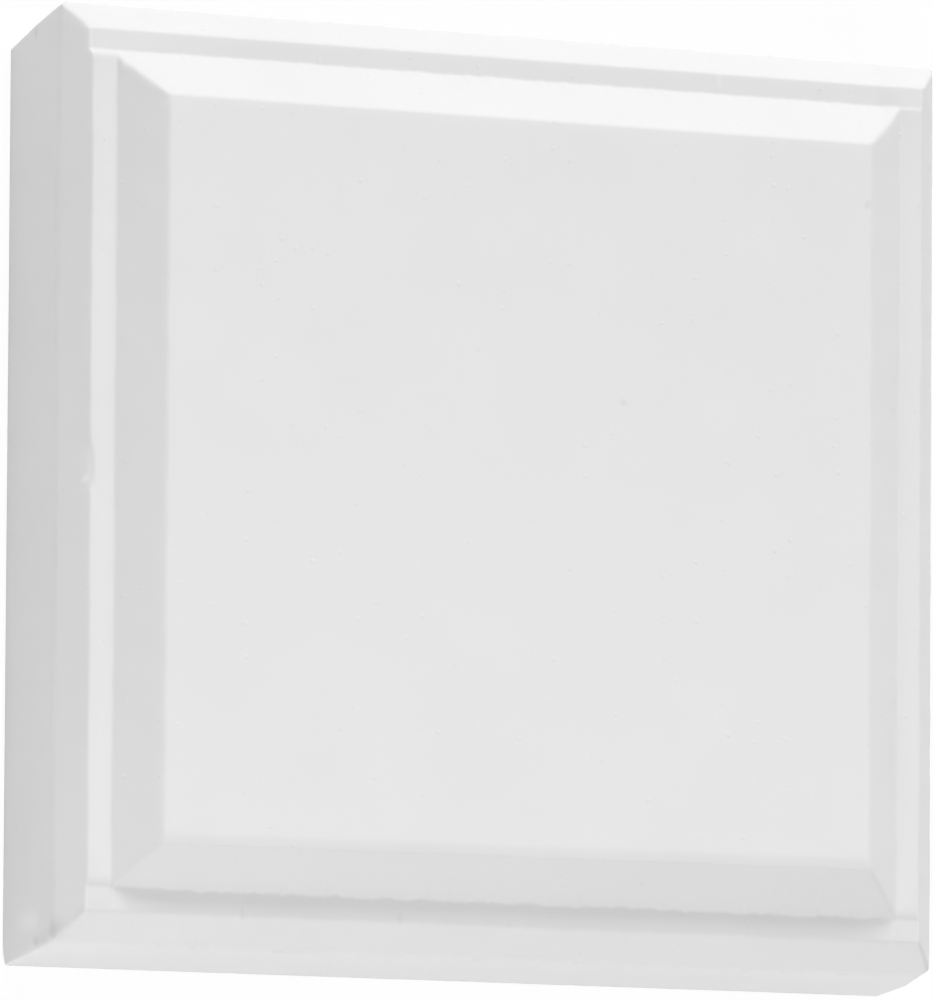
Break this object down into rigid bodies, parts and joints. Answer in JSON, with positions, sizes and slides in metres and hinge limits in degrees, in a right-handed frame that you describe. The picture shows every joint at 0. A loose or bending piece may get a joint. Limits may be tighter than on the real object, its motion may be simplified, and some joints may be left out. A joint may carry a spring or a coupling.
{
  "type": "corner rosette block",
  "caption": "Square painted wood corner block for door or window casing, with a raised flat panel, bevels, a flat border and chamfered edges.",
  "frame": {"origin": "centre of the flat back face, which lies against the wall", "axes": "+Z out of the front, away from the wall; +X to the right and +Y up the wall, seen from the front"},
  "size_m": [0.0888, 0.0888, 0.0222],
  "materials": {
    "white_paint": "white primer paint over solid wood, eggshell"
  },
  "bodies": {
    "root": {"corner_block": "white_paint"}
  },
  "joints": []
}
